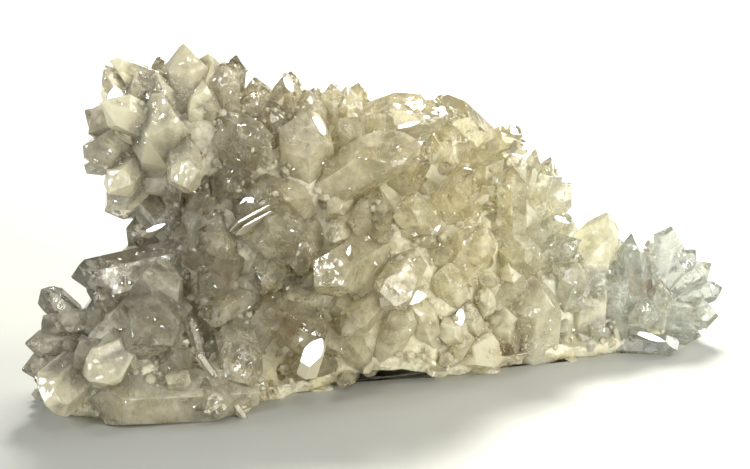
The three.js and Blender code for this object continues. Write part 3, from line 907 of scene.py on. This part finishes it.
def growGrains():
    dice = random.Random(29)
    clear = BVHTree.FromObject(clearCrystals, bpy.context.evaluated_depsgraph_get())
    meshes = growMirrors(clear)
    faces = list(clearCrystals.data.polygons)
    areas = [face.area for face in faces]
    low, high = grains["width"]
    for face in dice.choices(faces, weights=areas, k=grains["tries"]):
        corners = [clearCrystals.data.vertices[v].co for v in face.vertices]
        weights = [dice.expovariate(1) for corner in corners]
        spot = sum((c * w for c, w in zip(corners, weights)), Vector()) / sum(weights)
        place = backToTable @ spot
        width = low + (high - low) * dice.random() ** grains["smallness"]
        lean = Vector((dice.gauss(0, 1), dice.gauss(0, 1), dice.gauss(0, 1))) * grains["lean"]
        out = (face.normal + lean).normalized()
        tip = place + out * width * dice.uniform(*grains["lengthInWidths"])
        keep, flash, tone = dice.random(), dice.random(), dice.random()
        turn, lamp = dice.uniform(0, 60), dice.choice(flashingLamps)
        if place.z < grains["lowest"] or face.normal.z < grains["steepest"]:
            continue
        if keep > grainShare(place):
            continue
        if not insideFrontOutline(tip):
            continue
        if flash < grains["flashShare"]:
            pointing = math.radians(turn * 6)  # the same draw, over the full circle
            flashWidth = width * grains["flashWidth"]
            proud = grains["flashProud"] * width
            flatness = grains["flashFlatness"]
            meshes.append(growFlat(place, flashWidth, flatness, pointing, lamp, tone, proud))
        elif keep < grainShare(place) - grains["flashesOnly"]:
            buried = grains["buried"] * width
            meshes.append(grow(drusePoint, place, tip, width, turn, 1, tone, buried=buried))
    meshes = [mesh for mesh in meshes if insideBox(mesh)]
    return gathered("grains", meshes), len(meshes)


crystalGrains, grainCount = growGrains()
print("grains", grainCount, "crystals,", len(crystalGrains.data.polygons), "faces")
for master in list(masters.values()) + [drusePoint, flatPoint]:
    bpy.data.objects.remove(master)


# adds a node, sets its inputs by name or number, and links others into it
def addNode(tree, kind, settings=None, links=None, **properties):
    node = tree.nodes.new(kind)
    for name, value in properties.items():
        setattr(node, name, value)
    for socket, value in (settings or {}).items():
        node.inputs[socket].default_value = value
    for socket, source in (links or {}).items():
        tree.links.new(source, node.inputs[socket])
    return node


def newMaterial(name):
    material = bpy.data.materials.new(name)
    material.use_nodes = True
    material.node_tree.nodes.clear()
    return material, material.node_tree


# Tints along the cluster, from its left end to its right: share of the length, colour. Grey at the
# left, honey in the middle, cool at the right; the darker left end is partly painted shade.
tintsAndShadeAlong = (
    (0.0, "#b6b2a7"),
    (0.26, "#cec7b2"),
    (0.46, "#e2dabb"),
    (0.64, "#f3ebcb"),
    (0.76, "#efeedd"),
    (0.86, "#e6e9e2"),
)

# Rock crystal, faces as grown: see-through at the tips, milky with veils towards the root.
clearLook = {
    "roughness": 0.04,
    "ior": 1.544,
    "milk": "#f8f1d2",
    "absorption": "#dcd2b2",
    "density": 5,
    "flaw": "#fffdf4",
    "rust": "#a07840",
    "clearest": 0.92,
    "milkiest": 0.45,
    "facets": 700.0,
    "facetTilt": 0.29,
    "leastTilt": 0.01,
    "veilScale": 150.0,
    "veilContrast": 2.6,
    "clearingToTip": 0.55,
    "cloudAtRoot": 0.4,
    "darkestTone": 0.86,
    "toneRange": 0.2,
    # noise scale, level, softness and detail of each kind of patch
    "rustSpots": (42.0, 0.7, 0.04, 5.0),
    "facetPatches": (75.0, 0.47, 0.08),
    "flawPatches": (70.0, 0.57, 0.06),
    "rustShare": 0.6,
    "flawScale": 210.0,
    "flawShare": 0.8,
    "flawPassing": 0.25,
    "growthLineScale": 1.3,
    "growthLineStrength": 0.1,
    "growthLineDepth": 0.0008,
}


# two colours or numbers mixed by a share, each a value or another node's output
def mixed(tree, share, first, second, kind="RGBA"):
    firstSlot, secondSlot, result = {"RGBA": (6, 7, 2), "FLOAT": (2, 3, 0)}[kind]
    links = {}
    settings = {}
    for slot, value in ((0, share), (firstSlot, first), (secondSlot, second)):
        if isinstance(value, bpy.types.NodeSocket):
            links[slot] = value
        else:
            settings[slot] = value
    return addNode(tree, "ShaderNodeMix", settings, links, data_type=kind).outputs[result]


# a value from 0 to 1 where a noise of the given scale rises past a level
def patches(tree, place, scale, level, soft=0.05, detail=4.0):
    noise = addNode(
        tree, "ShaderNodeTexNoise", {"Scale": scale, "Detail": detail}, {"Vector": place}
    )
    return addNode(
        tree,
        "ShaderNodeMapRange",
        {"From Min": level - soft, "From Max": level + soft},
        {"Value": noise.outputs["Fac"]},
    ).outputs[0]


# the tint at a place along the cluster, with the painted shade of its darker left end
def tintAndShadeAlong(tree, place):
    axes = addNode(tree, "ShaderNodeSeparateXYZ", links={0: place}).outputs
    low, high = boundsBefore[0][0], boundsBefore[1][0]
    across = addNode(
        tree, "ShaderNodeMapRange", {"From Min": low, "From Max": high}, {"Value": axes["X"]}
    )
    tintAndShadeRamp = addNode(tree, "ShaderNodeValToRGB", links={0: across.outputs[0]})
    ramp = tintAndShadeRamp.color_ramp
    for number, (share, colour) in enumerate(tintsAndShadeAlong):
        element = ramp.elements[0] if number == 0 else ramp.elements.new(share)
        element.position = share
        element.color = rgb(colour)
    ramp.elements.remove(ramp.elements[-1])
    return tintAndShadeRamp.outputs[0]


# tiny flat faces turned every way, which flash one by one
def facetted(tree, place, scale, tilt, normal):
    cells = addNode(tree, "ShaderNodeTexVoronoi", {"Scale": scale}, {"Vector": place})
    turned = addNode(
        tree,
        "ShaderNodeVectorMath",
        {1: (0.5, 0.5, 0.5)},
        {0: cells.outputs["Color"]},
        operation="SUBTRACT",
    )
    shrunk = addNode(
        tree,
        "ShaderNodeVectorMath",
        links={0: turned.outputs[0], "Scale": tilt},
        operation="SCALE",
    )
    added = addNode(
        tree, "ShaderNodeVectorMath", links={0: normal, 1: shrunk.outputs[0]}, operation="ADD"
    )
    return addNode(
        tree, "ShaderNodeVectorMath", links={0: added.outputs[0]}, operation="NORMALIZE"
    ).outputs[0]


# a fixed number as a node's output
def steady(tree, number):
    output = addNode(tree, "ShaderNodeValue").outputs[0]
    output.default_value = number
    return output


def scaledBy(tree, value, factor, plus=0.0):
    return addNode(
        tree, "ShaderNodeMath", {1: factor, 2: plus}, {0: value}, operation="MULTIPLY_ADD"
    ).outputs[0]


# healed cracks inside the crystals, seen as thin, curling, bright lines
def flawLines(tree, place):
    noise = addNode(
        tree,
        "ShaderNodeTexNoise",
        {"Scale": clearLook["flawScale"], "Detail": 4.0, "Roughness": 0.6, "Distortion": 0.4},
        {"Vector": place},
    )
    centred = scaledBy(tree, noise.outputs["Fac"], 1.0, -0.5)
    off = addNode(tree, "ShaderNodeMath", links={0: centred}, operation="ABSOLUTE")
    thin = addNode(
        tree,
        "ShaderNodeMapRange",
        {"From Min": 0.002, "From Max": 0.02, "To Min": 0.6, "To Max": 0.0},
        {"Value": off.outputs[0]},
    ).outputs[0]
    here = patches(tree, place, *clearLook["flawPatches"])
    return addNode(tree, "ShaderNodeMath", links={0: thin, 1: here}, operation="MULTIPLY").outputs[0]


def clearQuartz():
    material, tree = newMaterial("rockCrystalAsGrown")
    place = addNode(tree, "ShaderNodeTexCoord").outputs["Object"]
    milk = addNode(tree, "ShaderNodeAttribute", attribute_name="milk").outputs["Fac"]
    tone = addNode(tree, "ShaderNodeAttribute", attribute_name="tone").outputs["Fac"]
    clarity = addNode(tree, "ShaderNodeAttribute", attribute_name="clarity").outputs["Fac"]
    # milkiest at the root, and in drifting veils
    veil = addNode(
        tree,
        "ShaderNodeTexNoise",
        {"Scale": clearLook["veilScale"], "Detail": 6.0, "Roughness": 0.7},
        {"Vector": place},
    )
    contrast = clearLook["veilContrast"]
    drifting = scaledBy(tree, veil.outputs["Fac"], contrast, -contrast / 2)
    rooted = scaledBy(tree, clarity, -clearLook["clearingToTip"], clearLook["cloudAtRoot"])
    cloudy = addNode(tree, "ShaderNodeMath", links={0: drifting, 1: rooted}, operation="ADD")
    cloudier = addNode(
        tree, "ShaderNodeMath", links={0: cloudy.outputs[0], 1: milk}, operation="ADD"
    )
    passing = addNode(
        tree,
        "ShaderNodeMapRange",
        {
            "From Min": -0.1,
            "From Max": 0.9,
            "To Min": clearLook["clearest"],
            "To Max": clearLook["milkiest"],
        },
        {"Value": cloudier.outputs[0]},
    )
    # the tint along the cluster, which carries painted shade at the left end, mixed towards milk
    tintAndShade = mixed(tree, milk, tintAndShadeAlong(tree, place), rgb(clearLook["milk"]))
    darker = scaledBy(tree, tone, clearLook["toneRange"], clearLook["darkestTone"])
    shaded = addNode(
        tree, "ShaderNodeVectorMath", links={0: tintAndShade, "Scale": darker}, operation="SCALE"
    ).outputs[0]
    spots = patches(tree, place, *clearLook["rustSpots"])
    rusty = scaledBy(tree, spots, clearLook["rustShare"])
    spotted = mixed(tree, rusty, shaded, rgb(clearLook["rust"]))
    flaws = flawLines(tree, place)
    flawed = scaledBy(tree, flaws, clearLook["flawShare"])
    colour = mixed(tree, flawed, spotted, rgb(clearLook["flaw"]))
    # growth lines square to each crystal's length, about a millimetre apart
    along = addNode(tree, "ShaderNodeAttribute", attribute_name="along").outputs["Fac"]
    lines = addNode(
        tree,
        "ShaderNodeTexNoise",
        {"Scale": clearLook["growthLineScale"], "Detail": 3.0},
        {"W": along},
        noise_dimensions="1D",
    )
    bump = addNode(
        tree,
        "ShaderNodeBump",
        {"Strength": clearLook["growthLineStrength"], "Distance": clearLook["growthLineDepth"]},
        {"Height": lines.outputs["Fac"]},
    )
    turnedPatches = patches(tree, place, *clearLook["facetPatches"])
    tilt = scaledBy(tree, turnedPatches, clearLook["facetTilt"], clearLook["leastTilt"])
    surface = addNode(
        tree,
        "ShaderNodeBsdfPrincipled",
        {
            "Roughness": clearLook["roughness"],
            "IOR": clearLook["ior"],
            "Subsurface Weight": 0.35,
            "Subsurface Scale": 0.006,
            "Subsurface Radius": (1.0, 0.92, 0.75),
        },
        {
            "Base Color": colour,
            "Transmission Weight": mixed(
                tree, flaws, passing.outputs[0], clearLook["flawPassing"], "FLOAT"
            ),
            "Normal": facetted(tree, place, clearLook["facets"], tilt, bump.outputs[0]),
        },
    )
    depth = addNode(
        tree,
        "ShaderNodeVolumeAbsorption",
        {"Color": rgb(clearLook["absorption"]), "Density": clearLook["density"]},
    )
    addNode(
        tree,
        "ShaderNodeOutputMaterial",
        links={"Surface": surface.outputs[0], "Volume": depth.outputs[0]},
    )
    return material


# Druse, grown as a crust of fine points: cloudy, bright, and flashing from a thousand tiny faces.
druseLook = {"pale": "#f2ebd4", "roughness": 0.04, "passing": 0.5, "facets": 1500.0, "tilt": 0.03}


def finePoints():
    material, tree = newMaterial("druseAsGrown")
    place = addNode(tree, "ShaderNodeTexCoord").outputs["Object"]
    tone = addNode(tree, "ShaderNodeAttribute", attribute_name="tone").outputs["Fac"]
    # the tint along the cluster, which carries painted shade at the left end, mixed towards pale
    tintAndShade = mixed(tree, tone, tintAndShadeAlong(tree, place), rgb(druseLook["pale"]))
    upright = addNode(tree, "ShaderNodeNewGeometry").outputs["Normal"]
    tilt = steady(tree, druseLook["tilt"])
    surface = addNode(
        tree,
        "ShaderNodeBsdfPrincipled",
        {
            "Roughness": druseLook["roughness"],
            "IOR": clearLook["ior"],
            "Transmission Weight": druseLook["passing"],
        },
        {
            "Base Color": tintAndShade,
            "Normal": facetted(tree, place, druseLook["facets"], tilt, upright),
        },
    )
    addNode(tree, "ShaderNodeOutputMaterial", links={"Surface": surface.outputs[0]})
    return material


# Milky quartz, broken: cream to honey, sugary, with rusty stains in patches.
rockLook = {
    "pale": "#fdf7d8",
    "honey": "#ecdfab",
    "grey": "#e8e1c6",
    "inner": 0.82,
    "palest": 0.004,
    "darkest": 0.02,
    "stain": "#8a6a3c",
    "stainPatches": (40.0, 0.7, 0.06, 5.0),
    "stainShare": 0.6,
    "cloudScale": 45.0,
    "roughness": 0.35,
    "facets": 1300.0,
    "tilt": 0.8,
}


def milkyQuartz():
    material, tree = newMaterial("milkyQuartzBroken")
    place = addNode(tree, "ShaderNodeTexCoord").outputs["Object"]
    clouds = addNode(
        tree,
        "ShaderNodeTexNoise",
        {"Scale": rockLook["cloudScale"], "Detail": 6.0},
        {"Vector": place},
    )
    colours = addNode(tree, "ShaderNodeValToRGB", links={0: clouds.outputs["Fac"]})
    ramp = colours.color_ramp
    ramp.elements[0].position = 0.3
    ramp.elements[0].color = rgb(rockLook["honey"])
    ramp.elements[1].position = 0.68
    ramp.elements[1].color = rgb(rockLook["pale"])
    ramp.elements.new(0.5).color = rgb(rockLook["grey"])
    stains = patches(tree, place, *rockLook["stainPatches"])
    stained = scaledBy(tree, stains, rockLook["stainShare"])
    # from 4 mm to 2 cm up the rock turns from its cloudy cream to the crystals' tint, darkened,
    # which carries painted shade at the left end
    height = addNode(tree, "ShaderNodeSeparateXYZ", links={0: place}).outputs["Z"]
    inner = addNode(
        tree,
        "ShaderNodeMapRange",
        {
            "From Min": rockLook["palest"],
            "From Max": rockLook["darkest"],
            "To Min": 0.15,
            "To Max": 0.85,
        },
        {"Value": height},
    ).outputs[0]
    innerTintAndShade = addNode(
        tree,
        "ShaderNodeVectorMath",
        {"Scale": rockLook["inner"]},
        {0: tintAndShadeAlong(tree, place)},
        operation="SCALE",
    ).outputs[0]
    toned = mixed(tree, inner, colours.outputs[0], innerTintAndShade)
    colour = mixed(tree, stained, toned, rgb(rockLook["stain"]))
    upright = addNode(tree, "ShaderNodeNewGeometry").outputs["Normal"]
    tilt = steady(tree, rockLook["tilt"])
    surface = addNode(
        tree,
        "ShaderNodeBsdfPrincipled",
        {
            "Roughness": rockLook["roughness"],
            "IOR": clearLook["ior"],
            "Subsurface Weight": 0.4,
            "Subsurface Scale": 0.006,
            "Subsurface Radius": (1.0, 0.85, 0.6),
        },
        {
            "Base Color": colour,
            "Normal": facetted(tree, place, rockLook["facets"], tilt, upright),
        },
    )
    addNode(tree, "ShaderNodeOutputMaterial", links={"Surface": surface.outputs[0]})
    return material


crystalMaterial = clearQuartz()
druseMaterial = finePoints()
rockMaterial = milkyQuartz()
for piece, material in (
    (clearCrystals, crystalMaterial),
    (smallCrystals, druseMaterial),
    (crystalGrains, druseMaterial),
    (rock, rockMaterial),
):
    piece.data.materials.clear()
    piece.data.materials.append(material)
    for face in piece.data.polygons:
        face.material_index = 0
        face.use_smooth = piece is rock
    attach(piece, "root")
    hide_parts("quartz_cluster")
print("materials on")


# Pale floor under a lamp that hangs above and behind, so that the floor fades to white there.
studio = {
    "floor": "#adaea8",
    "world": "#fffffa",
    "worldStrength": 0.4,
}


def addLamp(name, direction, size, watts, colour):
    light = bpy.data.lights.new(name, "AREA")
    light.shape = "SQUARE"
    light.size = size
    light.energy = watts
    light.color = rgb(colour)[:3]
    holder = linked(name, light)
    holder.location = lampPlace(name)
    looking = up if name == "overhead" else Vector(direction)  # the overhead lamp hangs level
    holder.rotation_euler = looking.to_track_quat("Z", "Y").to_euler()
    return holder


bpy.ops.object.select_all(action="DESELECT")
bpy.ops.mesh.primitive_plane_add(size=8, location=(0, 0, 0))
floor = bpy.context.object
floor.name = "floor"
floorMaterial, floorTree = newMaterial("paintedBoard")
floorSurface = addNode(
    floorTree,
    "ShaderNodeBsdfPrincipled",
    {"Base Color": rgb(studio["floor"]), "Roughness": 0.5},
)
addNode(floorTree, "ShaderNodeOutputMaterial", links={"Surface": floorSurface.outputs[0]})
floor.data.materials.append(floorMaterial)

world = bpy.data.worlds.new("studio")
bpy.context.scene.world = world
world.use_nodes = True
backdrop = world.node_tree.nodes["Background"]
backdrop.inputs[0].default_value = rgb(studio["world"])
backdrop.inputs[1].default_value = studio["worldStrength"]
for lampName, (direction, distance, *rest) in lamps.items():
    addLamp(lampName, direction, *rest)

camera = bpy.data.cameras.new("camera")
camera.sensor_width = sight["sensor"]
camera.lens = sight["sensor"] * sight["distance"] / (sight["photoWidth"] * sight["mmToPixel"])
camera.clip_start = 0.01
cameraHolder = linked("camera", camera)
cameraHolder.location = placed(eye)
cameraHolder.rotation_euler = (math.pi / 2 - sight["lift"], 0, 0)
bpy.context.scene.camera = cameraHolder
bpy.context.scene.view_settings.view_transform = "Standard"

print("scene ready")
